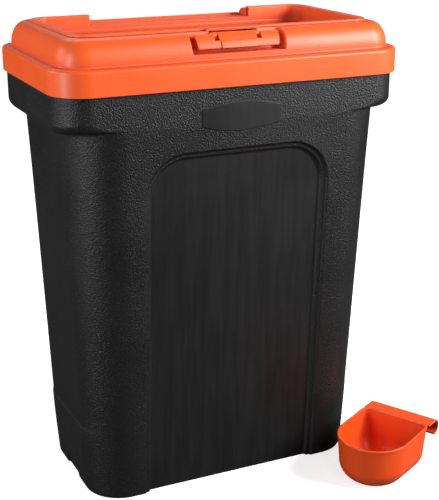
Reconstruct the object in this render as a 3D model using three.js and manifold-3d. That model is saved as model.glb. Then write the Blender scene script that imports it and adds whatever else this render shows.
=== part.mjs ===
// A 30-litre pet food bin: a tapered tub, a press-fit lid frame with a hinged tray-shaped flap,
// a front latch, and a loose measuring scoop.
// Millimetres. +Z is up, +X runs along the width, -Y is the front. The origin is on the floor,
// under the middle of the tub.

import * as THREE from "three";
import { mergeVertices } from "three/addons/utils/BufferGeometryUtils.js";
import Module from "manifold-3d";

const wasm = await Module();
wasm.setup();

// ---------------------------------------------------------------- driving dimensions

const WALL = 2.5; // moulded wall of tub and lid
const GAP = 0.4; // air left between pieces that rest on each other
const CORNER_STEPS = 8; // facets in each rounded corner
const ROUND_STEPS = 24; // facets round a barrel or pin

// Tub, half sizes at the floor and under the collar.
const TUB_FOOT = { x: 167, y: 89.5, radius: 45 };
const TUB_TOP = { x: 182.2, y: 112.5, radius: 55, z: 429.5 };
const TUB_RIM_Z = 486.6;
const FLOOR_Z = 6; // inside of the floor
const UNDERSIDE_LIFT = 3.2; // hollow under the floor, inside the foot ring
const CREASE = { z: 82, proud: 1.8, footInset: 1.2 }; // swelling low on the narrow sides
const SWELL_FADE = 1.7; // with this much extra corner radius a swell has died away half way round
const FOOT_EDGE = 3; // rounding of the bottom edge
const COLLAR = { x: 197, y: 112.5, radius: 36, bottomRadius: 10 };
const LEDGE_SAG = 5.5; // how much lower the collar's ledge lies on the narrow sides than in front
const RIM_BEAD = { y: 114.6, z: 482.5 };

// Recessed front panel, an arch-topped outline that runs down through the foot.
const PANEL = { half: 108.5, top: 400, radius: 48 };
const PANEL_STEPS = [
  { inset: -0.6, depth: -1 },
  { inset: 2, depth: 3 },
  { inset: 5.5, depth: 3.3 },
  { inset: 8.5, depth: 7.2 },
];
const BADGE = { half: 45.5, z: 434.5, endHeight: 17.3, midHeight: 30.5, proud: 1 };
const SIDE_HOLLOW = { halfY: 24, depth: 3.5, top: 32 };

// Lid frame, from the skirt up to the crest.
const SKIRT = { x: 200, y: 118, radius: 38, bottom: 466.2, top: 493.1, edge: 3.5 };
const TIER = { x: 190, y: 108, radius: 30, z: 496 };
const CREST = { drop: 16, z: 520.1 }; // how far in and how high the shoulder ends
const WELL = { x: 169.5, y: 82.2, radius: 19 }; // hole in the frame that the flap drops into
const LEDGE = { x: 160.5, y: 73, radius: 14, top: 497.2 }; // shelf under the flap's seal

// Flap: a shallow tray with a lip that lies on the crest.
const FLAP_LIP = { x: 172, y: 84, radius: 21, top: 522.6, thick: 2.2 };
const TRAY = { x: 164, y: 76, radius: 15, floor: 502.9 };
const TRAY_WALL = 2.4;

// Back hinge: one long barrel on the flap, a pin at each end held by the frame.
const HINGE = { y: 101, z: 509.5, barrel: 4.5, half: 97.5, pin: 1.5, bore: 1.8 };
const NOTCH = { half: 100, floor: 503, ledgeTop: 511 };
const LUG = { width: 12, pinInLug: 8, pinInBarrel: 16 };

// Latch: a plate in a pocket of the front shoulder, hung on a short pin.
const POCKET = { topHalf: 51.5, bottomHalf: 49, bottom: 499.5, topY: -88.5, bottomY: -94 };
const POCKET_SPLAY = 0.3; // how fast the pocket's ends open towards the front
const SADDLE = { half: 27.5, floor: 511 };
const LATCH = { y: -94.5, z: 516.3, barrel: 3.2, half: 21.3, pin: 1.3, bore: 1.6 };
const LATCH_EAR = { inner: 21.7, outer: 26.5 };
const LATCH_TAB = { half: 30, y: -89.2 }; // the part of the flap's lip that reaches over the bar
const LATCH_PLATE = { topHalf: 48, bottomHalf: 46, top: 518.6, bottom: 504.5, thick: 2.4 };
const LATCH_SUNK = 0.8; // how far the plate's face lies behind the shoulder's
const LATCH_RAISED = 1.2; // how far the plate's middle stands proud of its wings

// Scoop, in its own frame: the hook is at the back (+Y) and the rounded nose points to -Y.
const SCOOP = {
  half: 43,
  back: -19.5,
  nose: -116,
  height: 57.7,
  noseDrop: 3, // how much lower the rim lies at the nose than at the hook
  taper: 2.5,
  bottomRound: 24,
  wall: 2,
};
const SCOOP_RIM = { proud: 0.3, height: 3 };
const SCOOP_HOOK = {
  half: 43.3,
  reach: 24.5,
  radius: 8,
  thick: 2,
  drop: 18.5,
  curl: 120,
  cornerRadius: 9,
};
const SCOOP_PLACE = { x: 213, y: -129.6, turn: -61.5 };

const ORANGE = new THREE.Color(0.93, 0.2, 0.06);
const BLACK = new THREE.Color(0.02, 0.02, 0.021);

const MATERIALS = {
  blackPlastic: new THREE.MeshStandardMaterial({ color: BLACK, roughness: 0.55, metalness: 0 }),
  orangePlastic: new THREE.MeshStandardMaterial({ color: ORANGE, roughness: 0.38, metalness: 0 }),
  sealRubber: new THREE.MeshStandardMaterial({ color: 0x3a3a3a, roughness: 0.8, metalness: 0 }),
  pinSteel: new THREE.MeshStandardMaterial({ color: 0xb8babd, roughness: 0.35, metalness: 1 }),
};

// ---------------------------------------------------------------- shape helpers

function roundedRing(halfX, halfY, radius, z, centreX = 0, centreY = 0) {
  const ring = [];
  const corners = [
    [1, 1, 0],
    [-1, 1, 90],
    [-1, -1, 180],
    [1, -1, 270],
  ];
  for (const [signX, signY, startAngle] of corners) {
    for (let step = 0; step <= CORNER_STEPS; step += 1) {
      const angle = THREE.MathUtils.degToRad(startAngle + (90 * step) / CORNER_STEPS);
      const x = centreX + signX * (halfX - radius) + radius * Math.cos(angle);
      const y = centreY + signY * (halfY - radius) + radius * Math.sin(angle);
      ring.push(new THREE.Vector3(x, y, z));
    }
  }
  return ring;
}

// A closed skin through rings that all have the same number of points.
function loft(rings) {
  const count = rings[0].length;
  const positions = rings.flat().flatMap((point) => point.toArray());
  const triangles = [];
  for (let level = 0; level + 1 < rings.length; level += 1) {
    for (let index = 0; index < count; index += 1) {
      const next = (index + 1) % count;
      const a = level * count + index;
      const b = level * count + next;
      triangles.push(a, b, b + count, a, b + count, a + count);
    }
  }
  const last = (rings.length - 1) * count;
  for (let index = 1; index + 1 < count; index += 1) {
    triangles.push(0, index + 1, index);
    triangles.push(last, last + index, last + index + 1);
  }
  const geometry = new THREE.BufferGeometry();
  geometry.setAttribute("position", new THREE.Float32BufferAttribute(positions, 3));
  geometry.setIndex(triangles);
  return geometry;
}

function solid(geometry) {
  const bare = geometry.clone();
  bare.deleteAttribute("normal");
  bare.deleteAttribute("uv");
  const merged = mergeVertices(bare, 1e-4);
  const vertProperties = new Float32Array(merged.attributes.position.array);
  const triVerts = new Uint32Array(merged.index.array);
  return new wasm.Manifold(new wasm.Mesh({ numProp: 3, vertProperties, triVerts }));
}

function geometryOf(manifold) {
  const mesh = manifold.getMesh();
  const geometry = new THREE.BufferGeometry();
  geometry.setAttribute("position", new THREE.Float32BufferAttribute(mesh.vertProperties, 3));
  geometry.setIndex(Array.from(mesh.triVerts));
  geometry.computeVertexNormals();
  return geometry;
}

function loftSolid(rings) {
  return solid(loft(rings));
}

// A rounded block from one height to another.
function block(shape, low, high, grow = 0) {
  const radius = Math.max(shape.radius + grow, 0.5);
  const ring = (z) => roundedRing(shape.x + grow, shape.y + grow, radius, z);
  return loftSolid([ring(low), ring(high)]);
}

function box(low, high) {
  const size = high.map((value, axis) => value - low[axis]);
  const middle = high.map((value, axis) => (value + low[axis]) / 2);
  return solid(new THREE.BoxGeometry(...size).translate(...middle));
}

// A round bar along X.
function barAlongX(radius, fromX, toX, y, z) {
  const bar = new THREE.CylinderGeometry(radius, radius, toX - fromX, ROUND_STEPS);
  return solid(bar.rotateZ(Math.PI / 2).translate((fromX + toX) / 2, y, z));
}

function addAll(first, ...others) {
  return others.reduce((sum, other) => sum.add(other), first);
}

function cutAll(first, ...others) {
  return others.reduce((rest, other) => rest.subtract(other), first);
}

// ---------------------------------------------------------------- tub

// Half sizes of the plain tapered tub at a height.
function tubAt(z) {
  const share = z / TUB_TOP.z;
  return {
    x: THREE.MathUtils.lerp(TUB_FOOT.x, TUB_TOP.x, share),
    y: THREE.MathUtils.lerp(TUB_FOOT.y, TUB_TOP.y, share),
    radius: THREE.MathUtils.lerp(TUB_FOOT.radius, TUB_TOP.radius, share),
  };
}

function tubRing(z, grow, extraX = 0) {
  const half = tubAt(z);
  return roundedRing(half.x + grow + extraX, half.y + grow, half.radius + grow, z);
}

// A ring whose narrow sides stand out by a swell that fades out round the corners.
function swollenRing(z, swell, edge = 0) {
  const half = tubAt(z);
  const radius = half.radius + SWELL_FADE * swell - edge;
  return roundedRing(half.x + swell - edge, half.y - edge, radius, z);
}

// Lowers a ring of the collar's ledge on the narrow sides.
function sagging(ring) {
  return ring.map((point) => {
    const sag = LEDGE_SAG * (1 - Math.min(Math.abs(point.y) / COLLAR.y, 1) ** 4);
    return new THREE.Vector3(point.x, point.y, point.z - sag);
  });
}

function tubOutside() {
  const round = COLLAR.bottomRadius;
  const rings = [0, 0.4, 1].map((share) => {
    const edge = FOOT_EDGE * 0.4 * (1 - share);
    return swollenRing(FOOT_EDGE * share, -CREASE.footInset, edge);
  });
  // The narrow sides swell out a little up to the crease, then step back in.
  for (const share of [0.3, 0.55, 0.8, 0.94]) {
    const swell = THREE.MathUtils.lerp(-CREASE.footInset, CREASE.proud, Math.sin((share * Math.PI) / 2));
    rings.push(swollenRing(CREASE.z * share, swell));
  }
  rings.push(swollenRing(CREASE.z, 0));
  rings.push(sagging(tubRing(TUB_TOP.z, 0)));
  // The collar's rounded lower edge stands out at the narrow sides and dies away at the front.
  for (const turn of [20, 45, 68, 90]) {
    const angle = THREE.MathUtils.degToRad(turn);
    const inset = round * (1 - Math.sin(angle));
    const rise = round * (1 - Math.cos(angle));
    const radius = THREE.MathUtils.lerp(COLLAR.radius + 14, COLLAR.radius, Math.sin(angle));
    rings.push(sagging(roundedRing(COLLAR.x - inset, COLLAR.y, radius, TUB_TOP.z + rise)));
  }
  rings.push(roundedRing(COLLAR.x, COLLAR.y, COLLAR.radius, RIM_BEAD.z - 2));
  rings.push(roundedRing(COLLAR.x, RIM_BEAD.y, COLLAR.radius, RIM_BEAD.z));
  rings.push(roundedRing(COLLAR.x, RIM_BEAD.y, COLLAR.radius, TUB_RIM_Z));
  return loftSolid(rings);
}

function tubInside() {
  const ledge = TUB_TOP.z - WALL;
  const inner = (inset, z) =>
    roundedRing(COLLAR.x - inset, COLLAR.y - WALL, COLLAR.radius - WALL + 4, z);
  return loftSolid([
    tubRing(FLOOR_Z, -WALL - 3, -CREASE.footInset),
    tubRing(FLOOR_Z + 6, -WALL, -CREASE.footInset),
    tubRing(CREASE.z * 0.6, -WALL),
    sagging(tubRing(ledge, -WALL)),
    sagging(inner(WALL + 9, TUB_TOP.z + WALL)),
    sagging(inner(WALL + 2.5, TUB_TOP.z + 6)),
    sagging(inner(WALL, TUB_TOP.z + 12)),
    inner(WALL, TUB_RIM_Z + 1),
  ]);
}

// One outline of the front panel, laid into the sloping front face at a depth.
function panelRing(inset, depth) {
  const half = PANEL.half - inset;
  const radius = PANEL.radius - inset;
  const top = PANEL.top - inset;
  const outline = [new THREE.Vector2(-half, -20), new THREE.Vector2(half, -20)];
  for (const [side, startAngle] of [[1, 0], [-1, 90]]) {
    for (let step = 0; step <= CORNER_STEPS; step += 1) {
      const angle = THREE.MathUtils.degToRad(startAngle + (90 * step) / CORNER_STEPS);
      const x = side * (half - radius) + radius * Math.cos(angle);
      outline.push(new THREE.Vector2(x, top - radius + radius * Math.sin(angle)));
    }
  }
  return outline.map((point) => new THREE.Vector3(point.x, -tubAt(point.y).y + depth, point.y));
}

// The recess of the front panel. A positive grow gives the inner skin behind it.
function panelRecess(grow) {
  const outside = panelRing(-grow, -12);
  const steps = PANEL_STEPS.map((step) => panelRing(step.inset - grow, step.depth + grow));
  return loftSolid([outside, ...steps].reverse());
}

// The shallow hollow between the feet, in the middle of a narrow side.
function sideHollow(side, grow) {
  const ring = (z, depth, halfY) => {
    const inner = tubAt(z).x - CREASE.footInset - depth - grow;
    const outer = TUB_TOP.x + 20;
    return roundedRing((outer - inner) / 2, halfY + grow, 6, z, (side * (outer + inner)) / 2, 0);
  };
  return loftSolid([
    ring(-1, SIDE_HOLLOW.depth, SIDE_HOLLOW.halfY),
    ring(SIDE_HOLLOW.top + grow, -CREASE.footInset - CREASE.proud, SIDE_HOLLOW.halfY * 0.7),
  ]);
}

function badge() {
  const arcSteps = 10;
  const outline = [];
  for (const side of [1, -1]) {
    for (let step = 0; step <= arcSteps; step += 1) {
      const share = 1 - (2 * step) / arcSteps;
      const bulge = (BADGE.midHeight - BADGE.endHeight) * (1 - share * share);
      outline.push(new THREE.Vector2(side * share * BADGE.half, (side * (BADGE.endHeight + bulge)) / 2));
    }
  }
  const depth = BADGE.proud + 1;
  const plate = new THREE.ExtrudeGeometry(new THREE.Shape(outline), { depth, bevelEnabled: false });
  plate.rotateX(Math.PI / 2).translate(0, -COLLAR.y + 1, BADGE.z);
  return solid(plate);
}

// The hollow under the floor, less the ribs and the middle boss that reach the ground.
function undersideHollow() {
  const half = { x: TUB_FOOT.x - 22, y: TUB_FOOT.y - 18, radius: 30 };
  const hollow = block(half, -1, UNDERSIDE_LIFT);
  const boss = new THREE.CylinderGeometry(26, 26, 8, ROUND_STEPS * 2).rotateX(Math.PI / 2);
  const ribs = [-80, 0, 80].map((x) => box([x - 2, -half.y - 2, -2], [x + 2, half.y + 2, 4]));
  const spine = box([-half.x - 2, -2, -2], [half.x + 2, 2, 4]);
  return cutAll(hollow, ...ribs, spine, solid(boss));
}

function makeTub() {
  const inside = cutAll(tubInside(), panelRecess(WALL), sideHollow(1, WALL), sideHollow(-1, WALL));
  const shell = cutAll(tubOutside(), panelRecess(0), sideHollow(1, 0), sideHollow(-1, 0));
  return cutAll(shell.subtract(inside), undersideHollow()).add(badge());
}

// ---------------------------------------------------------------- lid frame

// How far the front shoulder stands from the middle at a height.
function shoulderY(z) {
  const rise = (z - TIER.z) / (CREST.z - TIER.z);
  return TIER.y - CREST.drop * (1 - Math.sqrt(1 - Math.min(rise * rise, 1)));
}

// The frame's outer form, or the hollow under it when thick is the wall.
function frameForm(thick) {
  const edge = SKIRT.edge;
  const floorZ = thick > 0 ? SKIRT.bottom - 1 : SKIRT.bottom;
  const skirt = (inset, z) =>
    roundedRing(SKIRT.x - inset - thick, SKIRT.y - inset - thick, SKIRT.radius - inset - thick, z);
  const tier = (inset, z) =>
    roundedRing(TIER.x - inset - thick, TIER.y - inset - thick, TIER.radius - inset * 0.7 - thick, z);
  const rings = [
    skirt(0, floorZ),
    skirt(0, SKIRT.top - thick - edge),
    skirt(edge * 0.3, SKIRT.top - thick - edge * 0.3),
    skirt(edge, SKIRT.top - thick),
    tier(-1.2, SKIRT.top - thick + 0.2),
    tier(0, SKIRT.top - thick + 1.6),
  ];
  const rise = CREST.z - thick - TIER.z;
  for (const turn of [10, 24, 38, 52, 66, 79, 90]) {
    const angle = THREE.MathUtils.degToRad(turn);
    rings.push(tier(CREST.drop * (1 - Math.cos(angle)), TIER.z + rise * Math.sin(angle)));
  }
  return loftSolid(rings);
}

// The latch pocket's void: a tapered slot in the front shoulder and a saddle in the crest above it.
function pocketVoid(grow) {
  const ring = (half, backY, z) => {
    const back = backY + grow;
    const front = -SKIRT.y - 10;
    const plain = roundedRing(half + grow, (back - front) / 2, 1.5, z, 0, (back + front) / 2);
    return plain.map((point) => {
      const splay = 1 + (POCKET_SPLAY * (back - point.y)) / half;
      return new THREE.Vector3(point.x * splay, point.y, z);
    });
  };
  const slot = loftSolid([
    ring(POCKET.bottomHalf, POCKET.bottomY, POCKET.bottom - grow),
    ring(POCKET.topHalf, POCKET.topY, CREST.z),
    ring(POCKET.topHalf, POCKET.topY, CREST.z + 5),
  ]);
  const saddle = box(
    [-SADDLE.half - grow, POCKET.bottomY - 4, SADDLE.floor - grow],
    [SADDLE.half + grow, -WELL.y + 4, CREST.z + 5],
  );
  return slot.add(saddle);
}

// The block of space in the back crest that the flap's hinge barrel lies in.
function hingeNotch(grow) {
  return box(
    [-NOTCH.half - grow, WELL.y - 6, NOTCH.floor - grow],
    [NOTCH.half + grow, SKIRT.y + 5, CREST.z + 5],
  );
}

function makeLidFrame() {
  const wellTube = block(WELL, LEDGE.top - WALL, CREST.z + 5, WALL);
  const hollow = cutAll(frameForm(WALL), wellTube, pocketVoid(WALL), hingeNotch(LUG.width));
  const wellVoid = block(WELL, LEDGE.top, CREST.z + 5);
  const mouth = block(LEDGE, SKIRT.bottom - 2, CREST.z + 5);
  const pinHole = barAlongX(
    HINGE.bore,
    -NOTCH.half - LUG.pinInLug - 0.5,
    NOTCH.half + LUG.pinInLug + 0.5,
    HINGE.y,
    HINGE.z,
  );
  const frame = cutAll(frameForm(0), hollow, wellVoid, mouth, pocketVoid(0), hingeNotch(0));
  return frame.subtract(pinHole);
}

// ---------------------------------------------------------------- flap

function flapEar(side) {
  const low = side > 0 ? LATCH_EAR.inner : -LATCH_EAR.outer;
  const high = side > 0 ? LATCH_EAR.outer : -LATCH_EAR.inner;
  const radius = LATCH.barrel;
  const arm = box([low, LATCH.y, LATCH.z - radius], [high, -TRAY.y - 1, LATCH.z + radius]);
  return arm.add(barAlongX(radius, low, high, LATCH.y, LATCH.z));
}

function makeFlap() {
  const lipBottom = FLAP_LIP.top - FLAP_LIP.thick;
  const trayBottom = TRAY.floor - TRAY_WALL;
  const lip = block(FLAP_LIP, lipBottom, FLAP_LIP.top);
  const tab = box([-LATCH_TAB.half, LATCH_TAB.y, lipBottom], [LATCH_TAB.half, -TRAY.y, FLAP_LIP.top]);
  const tub = block(TRAY, trayBottom, FLAP_LIP.top - 0.5, TRAY_WALL);
  const floorEdge = 3;
  const shrunk = (inset, z) =>
    roundedRing(TRAY.x - inset, TRAY.y - inset, TRAY.radius - inset, z);
  const hollow = loftSolid([
    shrunk(floorEdge, TRAY.floor),
    shrunk(floorEdge * 0.3, TRAY.floor + floorEdge * 0.3),
    shrunk(0, TRAY.floor + floorEdge),
    shrunk(0, FLAP_LIP.top - 1.5),
    shrunk(-1.5, FLAP_LIP.top + 0.1),
    shrunk(-1.5, FLAP_LIP.top + 2),
  ]);
  const gapEnd = NOTCH.half - HINGE.half;
  const backCut = box(
    [-HINGE.half - gapEnd, TRAY.y - 8, NOTCH.ledgeTop],
    [HINGE.half + gapEnd, SKIRT.y, FLAP_LIP.top + 5],
  );
  const tongue = box(
    [-HINGE.half, TRAY.y, NOTCH.ledgeTop - TRAY_WALL],
    [HINGE.half, HINGE.y, NOTCH.ledgeTop],
  );
  const barrel = barAlongX(HINGE.barrel, -HINGE.half, HINGE.half, HINGE.y, HINGE.z);
  const hingeBores = [-1, 1].map((side) => {
    const outer = side * (HINGE.half + 1);
    const inner = side * (HINGE.half - LUG.pinInBarrel - 0.5);
    return barAlongX(HINGE.bore, Math.min(outer, inner), Math.max(outer, inner), HINGE.y, HINGE.z);
  });
  const latchBore = barAlongX(LATCH.bore, -LATCH_EAR.outer + 1, LATCH_EAR.outer - 1, LATCH.y, LATCH.z);
  const tray = cutAll(addAll(lip, tab, tub), hollow, backCut);
  return cutAll(addAll(tray, tongue, barrel, flapEar(1), flapEar(-1)), ...hingeBores, latchBore);
}

function makeSeal() {
  const low = LEDGE.top + GAP;
  const high = TRAY.floor - TRAY_WALL - GAP;
  const outer = { x: TRAY.x + 1, y: TRAY.y + 1, radius: TRAY.radius + 1 };
  return block(outer, low, high).subtract(block(outer, low - 1, high + 1, -3.5));
}

// ---------------------------------------------------------------- latch and pins

// A plate that follows the curve of the front shoulder, proud of it or sunk below it.
function shoulderPlate(topHalf, bottomHalf, top, proud, thick) {
  const steps = 4;
  const rings = [];
  for (let step = 0; step <= steps; step += 1) {
    const share = step / steps;
    const z = THREE.MathUtils.lerp(LATCH_PLATE.bottom, top, share);
    const half = THREE.MathUtils.lerp(bottomHalf, topHalf, share);
    rings.push(roundedRing(half, thick / 2, 0.8, z, 0, thick / 2 - shoulderY(z) - proud));
  }
  return loftSolid(rings);
}

function makeLatch() {
  const { topHalf, bottomHalf, top, bottom, thick } = LATCH_PLATE;
  const wings = shoulderPlate(topHalf, bottomHalf, top, -LATCH_SUNK, thick);
  const middleHalf = LATCH.half - 1;
  const proud = LATCH_RAISED - LATCH_SUNK;
  const middle = shoulderPlate(middleHalf, middleHalf, LATCH.z - 4, proud, thick);
  // The wings are cut away round the flap's ears.
  const earRooms = [-1, 1].map((side) => {
    const near = side * LATCH.half;
    const far = side * (LATCH_EAR.outer + GAP);
    const low = [Math.min(near, far), -SKIRT.y, LATCH.z - LATCH.barrel - 1];
    return box(low, [Math.max(near, far), LATCH.y + 10, top + 5]);
  });
  const barrel = barAlongX(LATCH.barrel, -LATCH.half, LATCH.half, LATCH.y, LATCH.z);
  const web = box(
    [-LATCH.half, -shoulderY(LATCH.z) + thick, LATCH.z - LATCH.barrel],
    [LATCH.half, LATCH.y, LATCH.z],
  );
  const bore = barAlongX(LATCH.bore, -LATCH.half - 1, LATCH.half + 1, LATCH.y, LATCH.z);
  return cutAll(addAll(wings, middle, barrel, web), ...earRooms, bore);
}

function makeHingePin(side) {
  const inner = side * (HINGE.half - LUG.pinInBarrel);
  const outer = side * (NOTCH.half + LUG.pinInLug);
  return barAlongX(HINGE.pin, Math.min(inner, outer), Math.max(inner, outer), HINGE.y, HINGE.z);
}

function makeLatchPin() {
  const half = LATCH_EAR.outer - 1.5;
  return barAlongX(LATCH.pin, -half, half, LATCH.y, LATCH.z);
}

// ---------------------------------------------------------------- scoop

// A D-shaped outline: a straight back, straight sides and a half-round nose.
function scoopRing(inset, z) {
  const half = SCOOP.half - inset;
  const back = SCOOP.back - inset;
  const noseCentre = SCOOP.nose + SCOOP.half;
  const backRadius = Math.max(8 - inset * 0.3, 1.5);
  const ring = [];
  const noseSteps = CORNER_STEPS * 3;
  for (let step = 0; step <= noseSteps; step += 1) {
    const angle = Math.PI + (Math.PI * step) / noseSteps;
    ring.push(new THREE.Vector3(half * Math.cos(angle), noseCentre + half * Math.sin(angle), z));
  }
  for (const [side, startAngle] of [[1, 0], [-1, 90]]) {
    for (let step = 0; step <= CORNER_STEPS; step += 1) {
      const angle = THREE.MathUtils.degToRad(startAngle + (90 * step) / CORNER_STEPS);
      const x = side * (half - backRadius) + backRadius * Math.cos(angle);
      const y = back - backRadius + backRadius * Math.sin(angle);
      ring.push(new THREE.Vector3(x, y, z));
    }
  }
  return ring;
}

// A ring at the cup's mouth, which lies lower towards the nose.
function scoopMouth(inset, drop) {
  const length = SCOOP.back - SCOOP.nose;
  return scoopRing(inset, 0).map((point) => {
    const slope = (SCOOP.noseDrop * (SCOOP.back - point.y)) / length;
    return new THREE.Vector3(point.x, point.y, SCOOP.height - drop - slope);
  });
}

function scoopForm(wall) {
  const round = SCOOP.bottomRound;
  const base = wall;
  const rings = [];
  for (const turn of [0, 22, 45, 68, 90]) {
    const angle = THREE.MathUtils.degToRad(turn);
    const inset = SCOOP.taper + wall + round * (1 - Math.sin(angle));
    rings.push(scoopRing(inset, base + round * (1 - Math.cos(angle))));
  }
  rings.push(scoopMouth(wall, wall > 0 ? -1 : 0));
  return loftSolid(rings);
}

// The hanging hook: a flat bridge from the cup's back edge that curls down and back in.
function scoopHook() {
  const { half, reach, radius, thick, drop, curl, cornerRadius } = SCOOP_HOOK;
  const top = SCOOP.height;
  const start = SCOOP.back - 1;
  const bend = SCOOP.back + reach - radius;
  const inner = radius - thick;
  const lowBend = top - drop + radius;
  const curlEnd = -THREE.MathUtils.degToRad(curl);
  const section = new THREE.Shape();
  section.moveTo(start, top);
  section.lineTo(bend, top);
  section.absarc(bend, top - radius, radius, Math.PI / 2, 0, true);
  section.absarc(bend, lowBend, radius, 0, curlEnd, true);
  section.absarc(bend, lowBend, inner, curlEnd, 0, false);
  section.absarc(bend, top - radius, inner, 0, Math.PI / 2, false);
  section.lineTo(start, top - thick);
  section.closePath();
  const options = { depth: 2 * half, bevelEnabled: false, curveSegments: CORNER_STEPS };
  const hook = new THREE.ExtrudeGeometry(section, options);
  hook.translate(0, 0, -half).rotateX(Math.PI / 2).rotateZ(Math.PI / 2);
  // Seen from above, the hook's left outer corner is rounded.
  const end = SCOOP.back + reach + 1;
  const outline = new THREE.Shape();
  outline.moveTo(-half - 1, start - 1);
  outline.lineTo(half + 1, start - 1);
  outline.lineTo(half + 1, end);
  outline.lineTo(cornerRadius - half, end);
  outline.absarc(cornerRadius - half, end - 1 - cornerRadius, cornerRadius, Math.PI / 2, Math.PI, false);
  outline.closePath();
  const column = new THREE.ExtrudeGeometry(outline, { ...options, depth: top + 2 });
  return solid(hook).intersect(solid(column.translate(0, 0, -1)));
}

function makeScoop() {
  const rimBand = loftSolid([SCOOP_RIM.height, 0].map((drop) => scoopMouth(-SCOOP_RIM.proud, drop)));
  const cup = scoopForm(0).add(rimBand).add(scoopHook());
  return cup.subtract(scoopForm(SCOOP.wall));
}

// ---------------------------------------------------------------- assembly

function named(name, manifold, material) {
  const mesh = new THREE.Mesh(geometryOf(manifold), material);
  mesh.name = name;
  return mesh;
}

const bin = new THREE.Group();
bin.add(named("bin_body", makeTub(), MATERIALS.blackPlastic));

const lid = new THREE.Group();
lid.add(named("lid_frame", makeLidFrame(), MATERIALS.orangePlastic));
lid.add(named("lid_flap", makeFlap(), MATERIALS.orangePlastic));
lid.add(named("flap_seal", makeSeal(), MATERIALS.sealRubber));
lid.add(named("hinge_pin_left", makeHingePin(-1), MATERIALS.pinSteel));
lid.add(named("hinge_pin_right", makeHingePin(1), MATERIALS.pinSteel));
lid.add(named("lid_latch", makeLatch(), MATERIALS.orangePlastic));
lid.add(named("latch_pin", makeLatchPin(), MATERIALS.pinSteel));
bin.add(lid);

const scoop = named("scoop", makeScoop(), MATERIALS.orangePlastic);
scoop.position.set(SCOOP_PLACE.x, SCOOP_PLACE.y, 0);
scoop.rotation.z = THREE.MathUtils.degToRad(SCOOP_PLACE.turn);
bin.add(scoop);

export default bin;
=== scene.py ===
# %% [markdown]
# # A pet food bin with a hinged lid and a scoop
# The bin is four big plastic mouldings and a scoop: a black tub, an orange lid frame pressed
# over its rim, an orange flap that drops into the frame, and a latch plate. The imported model
# holds their working sizes, so it is loaded first and every piece is built around it.

# %% Load the frame
import math
import bpy
from mathutils import Matrix, Vector


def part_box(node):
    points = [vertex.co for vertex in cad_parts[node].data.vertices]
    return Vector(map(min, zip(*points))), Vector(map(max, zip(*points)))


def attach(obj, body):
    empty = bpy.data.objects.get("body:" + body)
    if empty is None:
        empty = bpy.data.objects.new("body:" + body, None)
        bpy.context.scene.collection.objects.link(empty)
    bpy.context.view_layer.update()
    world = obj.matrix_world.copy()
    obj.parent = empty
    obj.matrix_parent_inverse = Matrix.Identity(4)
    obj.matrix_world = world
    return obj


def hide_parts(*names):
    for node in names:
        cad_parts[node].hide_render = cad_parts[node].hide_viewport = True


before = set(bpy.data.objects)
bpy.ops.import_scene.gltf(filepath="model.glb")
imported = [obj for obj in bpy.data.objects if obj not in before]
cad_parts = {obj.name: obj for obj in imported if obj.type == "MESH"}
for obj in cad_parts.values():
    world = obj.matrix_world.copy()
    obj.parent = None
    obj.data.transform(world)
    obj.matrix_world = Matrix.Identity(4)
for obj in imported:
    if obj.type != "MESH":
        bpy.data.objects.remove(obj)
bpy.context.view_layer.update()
MM = 0.001

# %% [markdown]
# ## Camera
# The bin is seen from its left, a little from above, through a long lens. The camera's three
# axes are worked out from one azimuth and one elevation, so it can't roll. A Track To
# constraint would also do, but it would leave a rule on the camera that other views must undo.

# %% Camera
CAMERA_PLACE = Vector((-0.5135, -1.1558, 0.6742))
CAMERA_AZIMUTH = math.radians(-25.03)
CAMERA_ELEVATION = math.radians(18.45)
CAMERA_LENS = 81.3

lens = bpy.data.cameras.new("camera")
lens.lens = CAMERA_LENS
lens.sensor_width = 36
camera = bpy.data.objects.new("camera", lens)
bpy.context.scene.collection.objects.link(camera)
backwards = Vector(
    (
        math.sin(CAMERA_AZIMUTH) * math.cos(CAMERA_ELEVATION),
        -math.cos(CAMERA_AZIMUTH) * math.cos(CAMERA_ELEVATION),
        math.sin(CAMERA_ELEVATION),
    )
)
rightwards = Vector((math.cos(CAMERA_AZIMUTH), math.sin(CAMERA_AZIMUTH), 0))
upwards = backwards.cross(rightwards)
turned = Matrix((rightwards, upwards, backwards)).transposed().to_4x4()
camera.matrix_world = Matrix.Translation(CAMERA_PLACE) @ turned
bpy.context.scene.camera = camera
bpy.context.scene.view_settings.view_transform = "Standard"
print("camera at", tuple(round(value, 3) for value in camera.location))

# %% [markdown]
# ## Rings and lofts
# Nearly every surface here is a rectangle with rounded corners that changes its size with
# height. So the basic tool is a ring of points, and a loft that joins rings into a closed
# skin. Subdividing a cube would round the corners too, but it couldn't hold their exact radii.

# %% Ring and loft helpers
CORNER_STEPS = 18
ROUND_STEPS = 40


def between(start, end, share):
    """The number that lies at a share of the way from start to end."""
    return start + (end - start) * share


def shares(count):
    """Even steps from 0 to 1."""
    return [step / count for step in range(count + 1)]


def arc(centre, radius, start, end, steps):
    """Flat points on an arc, with its angles in degrees."""
    turns = [math.radians(between(start, end, share)) for share in shares(steps)]
    x, y = centre
    return [(x + radius * math.cos(turn), y + radius * math.sin(turn)) for turn in turns]


def quarter_round(radius, steps):
    """Steps round an edge: how far each lies in from the side, and down from the top."""
    turns = [math.radians(90 * share) for share in shares(steps)]
    return [(radius * (1 - math.cos(turn)), radius * (1 - math.sin(turn))) for turn in turns]


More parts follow.
